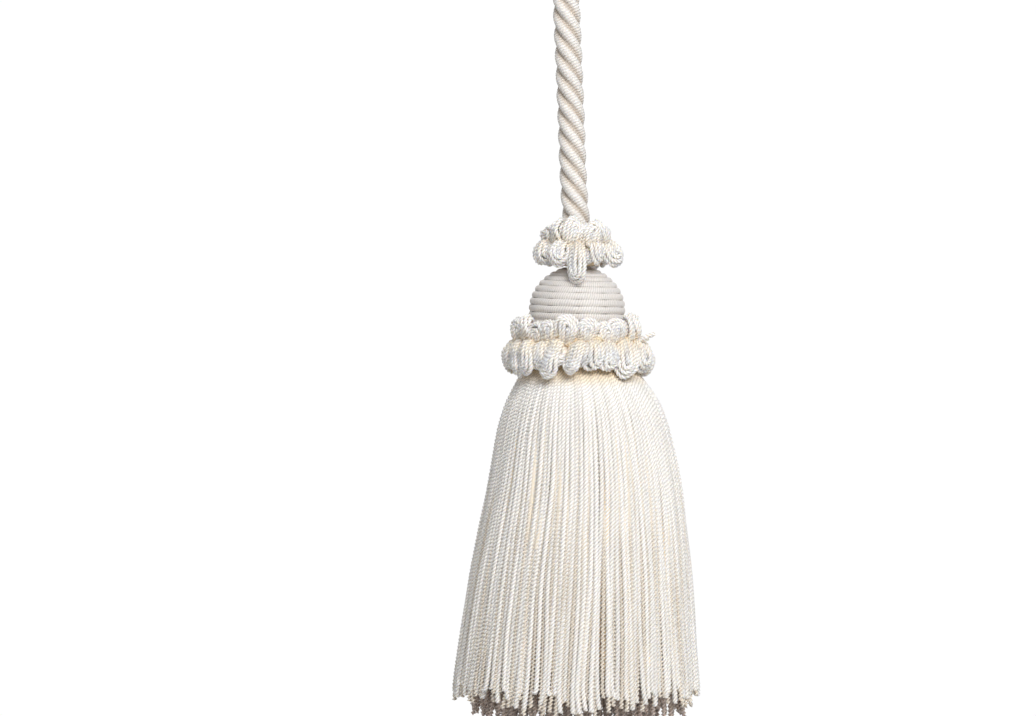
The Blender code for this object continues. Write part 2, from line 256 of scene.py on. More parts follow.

# Strands inside the skirt: their share of the inner layer's radius, how far below its hem they end, and how
# much painted shade dims them
Fill = namedtuple("Fill", "count share drop shade seed")
SKIRT_FILL = [
    Fill(90, 1.00, 0.0000, -1.5, 33),
    Fill(70, 0.86, 0.0016, -2.5, 34),
    Fill(50, 0.70, 0.0030, -3.5, 35),
    Fill(34, 0.53, 0.0040, -4.0, 36),
    Fill(22, 0.36, 0.0044, -4.5, 37),
    Fill(10, 0.18, 0.0044, -4.5, 38),
]

# Camera: a 100 mm lens level with the head. The tassel's axis stands at AXIS_PIXEL_X of its picture.
PICTURE_WIDTH = 1036
PICTURE_HEIGHT = 716
AXIS_PIXEL_X = 577
PIXEL_SIZE = 0.000344
VIEW_TOP_Z = -0.0700
SENSOR_WIDTH = 36.0
LENS = 100.0
CAMERA_ELEVATION = math.radians(2.0)

# Studio lamps, which all point at the target, and the white that the camera sees behind the tassel
Lamp = namedtuple("Lamp", "name size x y z")
LAMPS = [
    Lamp("key", 0.7, 0.32, -1.0, 0.50),
    Lamp("back", 1.2, 0.0, 1.4, 0.35),
    Lamp("fill", 1.2, -0.9, -1.0, 0.1),
]
LAMP_TARGET = Vector((0.0, 0.0, -0.22))
SEEN_WHITE = 1.02
FLOOR_SIZE = 3.0

# What the plied yarns of the ruffs and of the skirt share: their relief, and where the painted shade of the
# groove and the crest begin
PLIED = {
    "bump": 0.00015, "groove_core": 0.58, "crest_core": 0.92, "fibre_strength": 0.0, "ply_strength": 1.0,
}


def length(name, description, default):
    """A length that a user can change, in metres."""
    return FloatProperty(name=name, description=description, unit="LENGTH", default=default)


def power(name, description, default):
    """A lamp's power, in watts."""
    return FloatProperty(name=name, description=description, unit="POWER", default=default)


def colour(name, description, default):
    """A colour that a user can change, in linear light."""
    return FloatVectorProperty(
        name=name, description=description, subtype="COLOR", min=0.0, max=1.0, default=default,
    )


class YarnSettings(bpy.types.PropertyGroup):
    """Colours of the yarns, in linear light"""

    crest: colour("Crest", "Colour of the yarn where light reaches it", (0.965, 0.935, 0.89))
    # The groove colour is painted shade between the plies of a yarn
    groove: colour("Groove", "Colour deep between two yarns", (0.66, 0.62, 0.58))
    # This colour is painted warm shade, multiplied into yarn that lies far inside, where light hardly reaches
    deep: colour("Deep", "Colour of yarn that lies far inside", (0.95, 0.78, 0.54))
    shaded: colour("Shaded", "Colour of the strands inside the hem", (0.80, 0.69, 0.64))
    gimp_crest: colour("Gimp", "Colour of the matt gimp on the head", (0.74, 0.705, 0.675))
    # This groove colour is painted shade between two turns of gimp
    gimp_groove: colour("Gimp groove", "Colour between two turns of gimp", (0.27, 0.235, 0.20))


class RopeSettings(bpy.types.PropertyGroup):
    """Sizes and colours of the rope, and the thread of the whipping that binds its eye"""

    diameter: length("Diameter", "Thickness of the rope", 0.0095)
    strands: IntProperty(name="Strands", description="Strands laid into the rope", default=4)
    lay: length("Lay", "Length of rope in which a strand goes once round", 0.0275)
    step: length("Step", "Distance between two sections of the rope", 0.0009)
    thread: length("Thread", "Thickness of the binding thread", 0.0012)
    crest: colour("Crest", "Colour of the rope where light reaches it", (0.80, 0.77, 0.735))
    # This groove colour is painted shade between the rope's strands
    groove: colour("Groove", "Colour deep between two strands", (0.57, 0.49, 0.41))


class HeadSettings(bpy.types.PropertyGroup):
    """Sizes of the wound head"""

    radius: length("Radius", "Widest radius over the gimp", 0.0166)
    rise: length("Rise", "Height of the egg above its shoulder", 0.0151)
    shoulder: length("Shoulder", "Height of the shoulder, from the origin", -0.1765)
    drum: length("Drum", "Height of the drum's foot, from the origin", -0.1813)
    gimp_pitch: length("Gimp pitch", "Distance from one turn of gimp to the next", 0.0025)
    gimp_relief: length("Gimp relief", "Depth of the groove between two turns", 0.0008)


class RuffSettings(bpy.types.PropertyGroup):
    """Make and colours of the loops of both ruffs"""

    thread: length("Thread", "Thickness of a thread", 0.0019)
    lay: length("Lay", "Length in which a thread's plies go once round", 0.0039)
    lean: FloatProperty(
        name="Lean", description="How far a petal leans sideways, as a share of its length", default=0.30,
    )
    curl: length("Curl", "How far a petal's tip turns out or in", 0.0014)
    roll: FloatProperty(
        name="Roll", description="How far a petal turns about its own spine", subtype="ANGLE",
        default=math.radians(50.0),
    )
    crest: colour("Crest", "Colour of the loops where light reaches them", (0.955, 0.925, 0.885))
    # This groove colour is painted shade between the plies
    groove: colour("Groove", "Colour between the plies of a thread", (0.68, 0.63, 0.585))


class SkirtSettings(bpy.types.PropertyGroup):
    """Make of the bullion skirt"""

    strand: length("Strand", "Thickness of a strand", 0.00205)
    lay: length("Lay", "Length in which a strand's plies go once round", 0.0039)
    outer: IntProperty(
        name="Outer strands", description="Strands on the outside, and as many behind", default=120,
    )
    sway: length("Sway", "How far a strand strays sideways at the hem", 0.0012)


class StageSettings(bpy.types.PropertyGroup):
    """Floor and studio light"""

    floor_drop: length("Floor drop", "Distance from the hem to the floor", 0.045)
    key_power: power("Key", "Power of the light in front, above and to the right", 13.2)
    fill_power: power("Fill", "Power of the light in front, on the left", 0.4)
    back_power: power("Back", "Power of the light behind", 9.0)
    surround: FloatProperty(
        name="Surround", description="Strength of the light from all round", default=0.43,
    )


class TasselSettings(bpy.types.PropertyGroup):
    """Everything that a user can change"""

    yarn: PointerProperty(type=YarnSettings)
    rope: PointerProperty(type=RopeSettings)
    head: PointerProperty(type=HeadSettings)
    ruff: PointerProperty(type=RuffSettings)
    skirt: PointerProperty(type=SkirtSettings)
    stage: PointerProperty(type=StageSettings)


def settings():
    return bpy.context.scene.tassel_yarns


def around(angle, radius, across, z):
    """A point at a radius from the axis, then moved across it, seen from outside. Angle 0 faces -Y."""
    outward = Vector((math.sin(angle), -math.cos(angle), 0.0))
    sideways = Vector((math.cos(angle), math.sin(angle), 0.0))
    return outward * radius + sideways * across + Vector((0.0, 0.0, z))


def smooth_line(knots, parts):
    """Fine points along a smooth curve through the knots."""
    times = [0.0]
    for before, after in zip(knots, knots[1:]):
        times.append(times[-1] + (after - before).length)
    slopes = [(b - a) / (tb - ta) for a, b, ta, tb in zip(knots, knots[1:], times, times[1:])]
    tangents = [slopes[0]]
    for index in range(1, len(knots) - 1):
        lead_in = times[index] - times[index - 1]
        lead_out = times[index + 1] - times[index]
        tangents.append((slopes[index] * lead_in + slopes[index - 1] * lead_out) / (lead_in + lead_out))
    tangents.append(slopes[-1])
    fine = []
    for index in range(len(slopes)):
        span = times[index + 1] - times[index]
        for part in range(parts):
            t = part / parts
            fine.append(
                knots[index] * (2 * t**3 - 3 * t**2 + 1)
                + tangents[index] * span * (t**3 - 2 * t**2 + t)
                + knots[index + 1] * (3 * t**2 - 2 * t**3)
                + tangents[index + 1] * span * (t**3 - t**2)
            )
    fine.append(knots[-1])
    return fine


def even_points(fine, step):
    """Points read off a fine line at equal distances, about one step apart, both ends kept."""
    travelled = [0.0]
    for before, after in zip(fine, fine[1:]):
        travelled.append(travelled[-1] + (after - before).length)
    count = max(round(travelled[-1] / step), 1)
    points = []
    index = 0
    for number in range(count + 1):
        target = travelled[-1] * number / count
        while index < len(fine) - 2 and travelled[index + 1] < target:
            index += 1
        share = (target - travelled[index]) / (travelled[index + 1] - travelled[index])
        points.append(fine[index].lerp(fine[index + 1], share))
    return points


def line_length(points):
    return sum((after - before).length for before, after in zip(points, points[1:]))


def add(tree, kind, feeds=None, **choices):
    """A node with its choices made, and each input named in feeds set to a value or fed by a socket."""
    node = tree.nodes.new(kind)
    for name, value in choices.items():
        setattr(node, name, value)
    for key, value in (feeds or {}).items():
        if isinstance(value, bpy.types.NodeSocket):
            tree.links.new(value, node.inputs[key])
        else:
            node.inputs[key].default_value = value
    return node


def calc(tree, operation, first, second=0.0, third=None):
    """The result of one sum on two values or sockets. Shader and geometry trees share this node."""
    feeds = {0: first, 1: second}
    if third is not None:
        feeds[2] = third
    return add(tree, "ShaderNodeMath", feeds, operation=operation).outputs[0]


def new_inputs(tree, rows):
    """Named inputs of a tree, each row being a name, a socket type and a default."""
    for name, kind, default in rows:
        socket = tree.interface.new_socket(name, in_out="INPUT", socket_type=kind)
        if default is not None:
            socket.default_value = default


def named(tree, name, data_type="FLOAT"):
    return add(tree, "GeometryNodeInputNamedAttribute", {"Name": name}, data_type=data_type).outputs[0]


def stored(tree, geometry, name, value, data_type="FLOAT"):
    feeds = {"Geometry": geometry, "Name": name, "Value": value}
    node = add(tree, "GeometryNodeStoreNamedAttribute", feeds, data_type=data_type, domain="POINT")
    return node.outputs["Geometry"]


def ply_profile(tree, plies, points_per_ply, ply_set, closing):
    """The outline across a cord: overlapping round plies side by side, or one round section.

    A closing point all but meets the first, so that what is painted round the cord ends there unseen.
    """
    whole = calc(tree, "MULTIPLY", plies, points_per_ply)
    count = calc(tree, "ADD", whole, closing)
    circle = add(tree, "GeometryNodeCurvePrimitiveCircle", {"Resolution": count, "Radius": 1.0})
    index = add(tree, "GeometryNodeInputIndex").outputs[0]
    spaced = calc(tree, "DIVIDE", whole, calc(tree, "MULTIPLY_ADD", closing, 0.001, whole))
    odd = calc(tree, "MODULO", points_per_ply, 2.0)
    index = calc(tree, "MULTIPLY_ADD", odd, 0.5, index)
    share = calc(tree, "MULTIPLY", calc(tree, "DIVIDE", index, points_per_ply), spaced)
    turn = calc(tree, "MULTIPLY", calc(tree, "SUBTRACT", calc(tree, "FRACT", share), 0.5), math.tau)
    turn = calc(tree, "DIVIDE", turn, plies)
    ply_radius = calc(tree, "SUBTRACT", 1.0, ply_set)
    aside = calc(tree, "MULTIPLY", ply_set, calc(tree, "SINE", turn))
    under = calc(tree, "SUBTRACT", calc(tree, "POWER", ply_radius, 2.0), calc(tree, "POWER", aside, 2.0))
    rim = calc(tree, "SQRT", calc(tree, "MAXIMUM", under, 0.0))
    reach = calc(tree, "ADD", calc(tree, "MULTIPLY", ply_set, calc(tree, "COSINE", turn)), rim)
    angle = calc(tree, "MULTIPLY", calc(tree, "DIVIDE", share, plies), math.tau)
    feeds = {
        "X": calc(tree, "MULTIPLY", reach, calc(tree, "COSINE", angle)),
        "Y": calc(tree, "MULTIPLY", reach, calc(tree, "SINE", angle)),
    }
    feeds = {"Geometry": circle.outputs[0], "Position": add(tree, "ShaderNodeCombineXYZ", feeds).outputs[0]}
    shaped = add(tree, "GeometryNodeSetPosition", feeds).outputs[0]
    return stored(tree, shaped, "around", share)


def laid_cord_tree():
    """Turns guide lines into laid cords."""
    tree = bpy.data.node_groups.new("laid cord", "GeometryNodeTree")
    new_inputs(tree, [
        ("Guides", "NodeSocketGeometry", None),
        ("Plies", "NodeSocketInt", 2),
        ("Points per Ply", "NodeSocketInt", 3),
        ("Ply Set", "NodeSocketFloat", 0.4),
        ("Closing Points", "NodeSocketInt", 0),
        ("Lay", "NodeSocketFloat", 0.002),
        ("Step", "NodeSocketFloat", 0.0003),
        ("Material", "NodeSocketMaterial", None),
    ])
    tree.interface.new_socket("Cords", in_out="OUTPUT", socket_type="NodeSocketGeometry")
    given = tree.nodes.new("NodeGroupInput").outputs
    curve = add(tree, "GeometryNodeMeshToCurve", {"Mesh": given["Guides"]}).outputs[0]
    feeds = {"Curve": curve}
    curve = add(tree, "GeometryNodeCurveSplineType", feeds, spline_type="CATMULL_ROM").outputs[0]
    feeds = {"Curve": curve, "Length": given["Step"]}
    curve = add(tree, "GeometryNodeResampleCurve", feeds, mode="LENGTH").outputs[0]
    place = add(tree, "GeometryNodeInputPosition").outputs[0]
    along = add(tree, "GeometryNodeSplineParameter").outputs["Length"]
    radius = named(tree, "cord_radius")
    curve = stored(tree, curve, "along", along)
    curve = stored(tree, curve, "guide_place", place, "FLOAT_VECTOR")

    thread_turn = calc(tree, "MULTIPLY", calc(tree, "DIVIDE", along, given["Lay"]), math.tau)
    feeds = {"Curve": curve, "Tilt": calc(tree, "ADD", thread_turn, named(tree, "phase"))}
    curve = add(tree, "GeometryNodeSetCurveTilt", feeds).outputs[0]

    profile = ply_profile(
        tree, given["Plies"], given["Points per Ply"], given["Ply Set"], given["Closing Points"],
    )
    feeds = {"Curve": curve, "Profile Curve": profile, "Scale": radius, "Fill Caps": True}
    mesh = add(tree, "GeometryNodeCurveToMesh", feeds).outputs[0]
    feeds = {0: place, 1: named(tree, "guide_place", "FLOAT_VECTOR")}
    out = add(tree, "ShaderNodeVectorMath", feeds, operation="DISTANCE").outputs["Value"]
    mesh = stored(tree, mesh, "core", calc(tree, "DIVIDE", out, radius))
    for name in ("guide_place", "phase", "cord_radius"):
        feeds = {"Geometry": mesh, "Name": name}
        mesh = add(tree, "GeometryNodeRemoveAttribute", feeds).outputs[0]
    mesh = add(tree, "GeometryNodeTriangulate", {"Mesh": mesh}).outputs[0]
    mesh = add(tree, "GeometryNodeSetShadeSmooth", {"Geometry": mesh}).outputs[0]
    mesh = add(tree, "GeometryNodeRealizeInstances", {"Geometry": mesh}).outputs[0]
    feeds = {"Geometry": mesh, "Material": given["Material"]}
    mesh = add(tree, "GeometryNodeSetMaterial", feeds).outputs[0]
    end = tree.nodes.new("NodeGroupOutput")
    tree.links.new(mesh, end.inputs[0])
    return tree


# A guide line: its shade number brightens or dims its colour, at random and as painted shade on inner
# strands, and its deep numbers give painted warm shade point by point
Line = namedtuple("Line", "points radii shade phase deep")


def even_line(points, radius, shade=0.0, deep=0.0):
    """A line of one thickness, with the same painted warm shade all along."""
    count = len(points)
    return Line(points, [radius] * count, shade, 0.0, [deep] * count)


def set_values(mesh, **columns):
    """One number for each point of the mesh, in each column that a tree or a material reads."""
    for name, numbers in columns.items():
        mesh.attributes.new(name, "FLOAT", "POINT").data.foreach_set("value", numbers)


def guide_mesh(name, lines):
    """A mesh of open lines that holds what the laid cord tree reads at each point."""
    mesh = bpy.data.meshes.new(name)
    places = []
    edges = []
    values = {"cord_radius": [], "shade": [], "phase": [], "deep": []}
    for line in lines:
        first = len(places)
        places += line.points
        edges += [(first + index, first + index + 1) for index in range(len(line.points) - 1)]
        values["cord_radius"] += line.radii
        values["shade"] += [line.shade] * len(line.points)
        values["phase"] += [line.phase] * len(line.points)
        values["deep"] += line.deep
    mesh.from_pydata(places, edges, [])
    set_values(mesh, **values)
    return mesh


def lay_cords(name, lines, material, **inputs):
    """A plain mesh of the cords that the laid cord tree makes along these lines."""
    tree = bpy.data.node_groups.get("laid cord") or laid_cord_tree()
    guides = bpy.data.objects.new(name + "_guides", guide_mesh(name + "_guides", lines))
    bpy.context.scene.collection.objects.link(guides)
    modifier = guides.modifiers.new("Laid cord", "NODES")
    modifier.node_group = tree
    inputs["material"] = material
    for item in tree.interface.items_tree:
        key = item.name.lower().replace(" ", "_")
        if item.in_out == "INPUT" and key in inputs:
            modifier[item.identifier] = inputs[key]
    bpy.context.view_layer.update()
    graph = bpy.context.evaluated_depsgraph_get()
    evaluated = guides.evaluated_get(graph)
    mesh = bpy.data.meshes.new_from_object(evaluated, preserve_all_data_layers=True, depsgraph=graph)
    bpy.data.objects.remove(guides)
    if not mesh.polygons:
        raise RuntimeError(f"{name}: the laid cord tree made no faces")
    mesh.name = name
    return mesh


def finish_piece(name, mesh, node):
    """The mesh as a piece that stands for the node and rides on the body."""
    piece = bpy.data.objects.new(name, mesh)
    bpy.context.scene.collection.objects.link(piece)
    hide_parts(node)
    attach(piece, BODY)
    return piece


def yarn_tone_group():
    """Colour, roughness and height of a laid yarn, from how far out on it each point lies, with painted
    shade.
    """
    group = bpy.data.node_groups.new("yarn tone", "ShaderNodeTree")
    new_inputs(group, [
        ("Crest", "NodeSocketColor", (0.86, 0.80, 0.71, 1.0)),
        ("Groove", "NodeSocketColor", (0.50, 0.38, 0.25, 1.0)),
        ("Groove Core", "NodeSocketFloat", 0.6),
        ("Crest Core", "NodeSocketFloat", 0.95),
        ("Deep", "NodeSocketColor", (0.95, 0.78, 0.54, 1.0)),
        ("Fibre Pitch", "NodeSocketFloat", 0.0006),
        ("Fibre Slant", "NodeSocketFloat", 2.0),
        ("Fibre Strength", "NodeSocketFloat", 0.5),
        ("Ply Strength", "NodeSocketFloat", 0.0),
        ("Roughness", "NodeSocketFloat", 0.36),
    ])
    for name, kind in (("Color", "Color"), ("Roughness", "Float"), ("Height", "Float")):
        group.interface.new_socket(name, in_out="OUTPUT", socket_type="NodeSocket" + kind)
    given = group.nodes.new("NodeGroupInput").outputs
    core, deep, shade, along, over = (
        add(group, "ShaderNodeAttribute", attribute_name=name).outputs["Fac"]
        for name in ("core", "deep", "shade", "along", "around")
    )
    # Painted shade: the Groove colour where the core is low, between the plies, up to the lit Crest colour on
    # the crest
    feeds = {"Value": core, "From Min": given["Groove Core"], "From Max": given["Crest Core"]}
    lit = add(group, "ShaderNodeMapRange", feeds, interpolation_type="SMOOTHSTEP").outputs[0]
    turns = calc(group, "DIVIDE", along, given["Fibre Pitch"])
    turns = calc(group, "ADD", turns, calc(group, "MULTIPLY", over, given["Fibre Slant"]))
    place = add(group, "ShaderNodeTexCoord").outputs["Object"]
    feeds = {"Vector": place, "Scale": 900.0, "Detail": 2.0}
    speckle = add(group, "ShaderNodeTexNoise", feeds).outputs[0]
    turns = calc(group, "MULTIPLY_ADD", speckle, 0.9, turns)
    wave = calc(group, "SINE", calc(group, "MULTIPLY", turns, math.tau))
    feeds = {"Vector": place, "Scale": 120.0, "Detail": 1.0}
    cloud = add(group, "ShaderNodeTexNoise", feeds).outputs[0]
    # Fibre stripes in the colour: the yarn's fibre lines, and in part painted sheen along them
    fibre = calc(group, "MULTIPLY", wave, given["Fibre Strength"])
    lit = calc(group, "ADD", lit, calc(group, "MULTIPLY", fibre, 0.22))
    lit = add(group, "ShaderNodeClamp", {"Value": lit}).outputs[0]
    feeds = {0: lit, 6: given["Groove"], 7: given["Crest"]}
    tone = add(group, "ShaderNodeMix", feeds, data_type="RGBA").outputs[2]
    # Painted warm shade, multiplied in where the yarn lies deep or under the lower ruff
    feeds = {0: deep, 6: tone, 7: given["Deep"]}
    tone = add(group, "ShaderNodeMix", feeds, data_type="RGBA", blend_type="MULTIPLY").outputs[2]
    # The shade number: random tone per strand, and painted shade that dims the inner strands. The two noises
    # are random tone.
    gain = calc(group, "MULTIPLY_ADD", shade, 0.07, 1.0)
    for grain in (speckle, cloud):
        gain = calc(group, "ADD", gain, calc(group, "MULTIPLY_ADD", grain, 0.10, -0.05))
    gain = calc(group, "ADD", gain, calc(group, "MULTIPLY", fibre, 0.10))
    feeds = {0: tone, "Scale": gain}
    toned = add(group, "ShaderNodeVectorMath", feeds, operation="SCALE").outputs[0]
    rough = calc(group, "ADD", given["Roughness"], calc(group, "MULTIPLY_ADD", speckle, 0.16, -0.08))
    end = group.nodes.new("NodeGroupOutput")
    group.links.new(toned, end.inputs["Color"])
    group.links.new(rough, end.inputs["Roughness"])
    feeds = {"Value": core, "From Min": given["Groove Core"], "From Max": 1.0}
    rise = add(group, "ShaderNodeMapRange", feeds).outputs[0]
    fall = calc(group, "SUBTRACT", 1.0, rise)
    bulge = calc(group, "SQRT", calc(group, "SUBTRACT", 1.0, calc(group, "MULTIPLY", fall, fall)))
    height = calc(group, "MULTIPLY", bulge, given["Ply Strength"])
    group.links.new(calc(group, "ADD", height, fibre), end.inputs["Height"])
    return group


def yarn_material(name, bump=0.0001, glow=0.22, crest=None, groove=None, **values):
    """A silky yarn: the tone group feeds its colour, roughness and fine relief."""
    material = bpy.data.materials.new(name)
    material.use_nodes = True
    tree = material.node_tree
    shader = tree.nodes["Principled BSDF"]
    tone = tree.nodes.new("ShaderNodeGroup")
    tone.node_tree = bpy.data.node_groups.get("yarn tone") or yarn_tone_group()
    yarn = settings().yarn
    # Crest is the lit colour, Groove painted shade between plies, and the deep colour painted warm shade
    tone.inputs["Crest"].default_value = (*(crest or yarn.crest), 1.0)
    tone.inputs["Groove"].default_value = (*(groove or yarn.groove), 1.0)
    tone.inputs["Deep"].default_value = (*yarn.deep, 1.0)
    for key, value in values.items():
        tone.inputs[key.replace("_", " ").title()].default_value = value
    relief = add(tree, "ShaderNodeBump", {"Height": tone.outputs["Height"], "Distance": bump})
    tree.links.new(tone.outputs["Color"], shader.inputs["Base Color"])
    tree.links.new(tone.outputs["Roughness"], shader.inputs["Roughness"])
    tree.links.new(relief.outputs[0], shader.inputs["Normal"])
    shader.inputs["Subsurface Weight"].default_value = glow
    shader.inputs["Subsurface Radius"].default_value = (1.0, 0.78, 0.52)
    shader.inputs["Subsurface Scale"].default_value = 0.0015
    shader.inputs["Sheen Weight"].default_value = 0.1
    shader.inputs["Sheen Roughness"].default_value = 0.4
    return material


def rope_points():
    knots = [Vector((place.x, 0.0, place.z)) for place in ROPE_ROUTE]
    return even_points(smooth_line(knots, parts=40), step=0.002)


def make_rope():
    rope = settings().rope
    points = rope_points()
    # Painted shade between the strands, by the groove colour; the fibre stripes are fibre lines that also
    # paint sheen on the ridges
    material = yarn_material(
        "rope yarn", bump=0.00012, glow=0.10, crest=rope.crest, groove=rope.groove, groove_core=0.76,
        crest_core=0.995, fibre_pitch=0.00078, fibre_slant=-2.6, fibre_strength=0.7, roughness=0.42,
    )
    mesh = lay_cords(
        "rope_strands", [even_line(points, rope.diameter / 2)], material, plies=rope.strands,
        points_per_ply=10, ply_set=0.50, closing_points=1, lay=-rope.lay, step=rope.step,
    )
    return finish_piece("rope_strands", mesh, "rope"), points


def whipping_line():
    """The binding thread's path: a stadium round both legs of the eye, one thread lower each turn."""
    rope = settings().rope
    radius = rope.diameter / 2 + rope.thread / 2 + WHIPPING_SLACK
    low = WHIPPING_LOW.z + WHIPPING_MARGIN
    high = WHIPPING_HIGH.z - WHIPPING_MARGIN
    centre = Vector(((WHIPPING_LOW.x + WHIPPING_HIGH.x) / 2, 0.0, (low + high) / 2))
    packing = 0.98
    turns = int((high - low) / (rope.thread * packing))
    steps = 40
    side = LEG_SPACING
    bend = math.pi * radius
    points = []
    for number in range(turns * steps + 1):
        way = (number / steps) % 1.0 * 2 * (side + bend)
        if way < side:
            across, depth = way - side / 2, -radius
        elif way < side + bend:
            angle = (way - side) / radius
            across, depth = side / 2 + radius * math.sin(angle), -radius * math.cos(angle)
        elif way < 2 * side + bend:
            across, depth = side / 2 - (way - side - bend), radius
        else:
            angle = (way - 2 * side - bend) / radius
            across, depth = -side / 2 - radius * math.sin(angle), radius * math.cos(angle)
        height = (number / (turns * steps) - 0.5) * (high - low)
        points.append(Vector((across, depth, height)))
    turn = Matrix.Rotation(-WHIPPING_LEAN, 4, "Y")
    return [centre + turn @ point for point in points]


def make_whipping():
    rope = settings().rope
    # The groove colour paints shade between the thread's plies
    material = yarn_material(
        "whipping thread", groove_core=0.6, crest_core=0.95, fibre_strength=0.0, roughness=0.5,
    )
    mesh = lay_cords(
        "whipping_turns", [even_line(whipping_line(), rope.thread / 2)], material, plies=2,
        points_per_ply=3, ply_set=0.36, lay=0.0030, step=0.0005,
    )
    return finish_piece("whipping_turns", mesh, "loop_whipping")


def head_line():
    """Fine points down the head's outline, from its flat top to the foot of its drum."""
    head = settings().head
    start = math.acos((HEAD_HIGH.z - head.shoulder) / head.rise)
    parts = 200
    outline = []
    for index in range(parts + 1):
        angle = start + (math.pi / 2 - start) * index / parts
        height = head.shoulder + head.rise * math.cos(angle)
        outline.append(Vector((head.radius * math.sin(angle), 0.0, height)))
    outline.append(Vector((head.radius, 0.0, head.drum)))
    return outline


def make_head():
    """The egg with its gimp as one spiral rib, which drops by one pitch in each turn."""
    head = settings().head
    per_rib = 10
    steps = 120
    flatness = 0.45
    line = even_points(head_line(), head.gimp_pitch / per_rib)
    core = []
    along = []
    over = []
    places = []
    last = len(line) - 1
    for row, point in enumerate(line):
        before = line[max(row - 1, 0)]
        after = line[min(row + 1, last)]
        way = (after - before).normalized()
        inward = Vector((way.z, -way.x))
        for column in range(steps + 1):
            turn = row / per_rib - column / steps
            rib = abs(math.sin(math.pi * turn)) ** flatness
            edge = min(1.0, row / per_rib, (last - row) / per_rib)
            dip = head.gimp_relief * (1.0 - rib) * max(edge, 0.0)
            radius = point.x + inward.x * dip
            height = point.z + inward.y * dip
            places.append(around(math.pi + math.tau * column / steps, radius, 0.0, height))
            # The rib's height also lays the painted groove shade between turns
            core.append(rib)
            along.append(math.tau * column / steps * head.radius)
            over.append(turn)
    faces = []
    wide = steps + 1
    for row in range(last):
        for column in range(steps):
            here = row * wide + column
            faces.append((here, here + wide, here + wide + 1, here + 1))
    foot_radius = head.radius * 0.9
    foot = len(places)
    for column in range(wide):
        places.append(around(math.pi + math.tau * column / steps, foot_radius, 0.0, HEAD_LOW.z))
        # The foot takes the painted groove shade
        core.append(0.0)
        along.append(0.0)
        over.append(0.0)
    for column in range(steps):
        here = last * wide + column
        faces.append((here, foot + column, foot + column + 1, here + 1))
    faces.append(tuple(range(steps)))
    faces.append(tuple(reversed(range(foot, foot + steps))))
    mesh = bpy.data.meshes.new("head_gimp")
    mesh.from_pydata(places, [], faces)
    set_values(mesh, core=core, along=along, around=over)
    mesh.shade_smooth()
    yarn = settings().yarn
    # The gimp groove colour, laid by the rib's core, is painted shade between turns
    material = yarn_material(
        "gimp", bump=0.00006, crest=yarn.gimp_crest, groove=yarn.gimp_groove, groove_core=0.05,
        crest_core=0.62, fibre_pitch=0.00090, fibre_slant=1.0, fibre_strength=0.75, roughness=0.6,
    )
    mesh.materials.append(material)
    return finish_piece("head_gimp", mesh, "head")


def petal_place(line, way, out):
    """Radius and height at a distance along a petal's middle line, moved out square to it."""
    step = (line[1] - line[0]).length
    index = min(int(way / step), len(line) - 2)
    ahead = (line[index + 1] - line[index]).normalized()
    place = line[index] + ahead * (way - index * step)
    return place.x - ahead.z * out, place.z + ahead.x * out


def petal_thread(line, half, thread, lean, roll, angle, upward):
    """One thread of a petal: out along a leg, round the tip and back along the other leg."""
    whole = line_length(line)
    aside = thread.aside * half
    bend = whole - half
    leg_parts = 6
    tip_parts = 8
    legs = [bend * index / leg_parts for index in range(leg_parts)]
    tip = [math.pi * index / tip_parts for index in range(tip_parts + 1)]
    stops = [(way, 1.0) for way in legs]
    stops += [(bend + aside * math.sin(turn), math.cos(turn)) for turn in tip]
    stops += [(way, -1.0) for way in reversed(legs)]
    points = []
    deep = []
    for way, side in stops:
        opened = min(1.0, way / (OPEN_SHARE * whole))
        flat = aside * side * (ROOT_WIDTH + (1 - ROOT_WIDTH) * opened)
        raised = thread.out * half * (ROOT_DEPTH + (1 - ROOT_DEPTH) * opened)
        turned = roll * opened
        across = flat * math.cos(turned) - raised * math.sin(turned)
        out = flat * math.sin(turned) + raised * math.cos(turned)
        radius, z = petal_place(line, way, -upward * out)
        points.append(around(angle, radius, across + lean * way, z))
        # Painted warm shade: full at the root, fading along the petal
        deep.append(max(0.0, 1.0 - ROOT_SHADE_FADE * way / whole))
    return points, deep


def wandered(point, seed):
    """The point moved a little, as hand-made threads never lie quite true."""
    return point + noise.noise_vector(point * WANDER_SCALE + Vector((seed * 0.05, 0.0, 0.0))) * WANDER


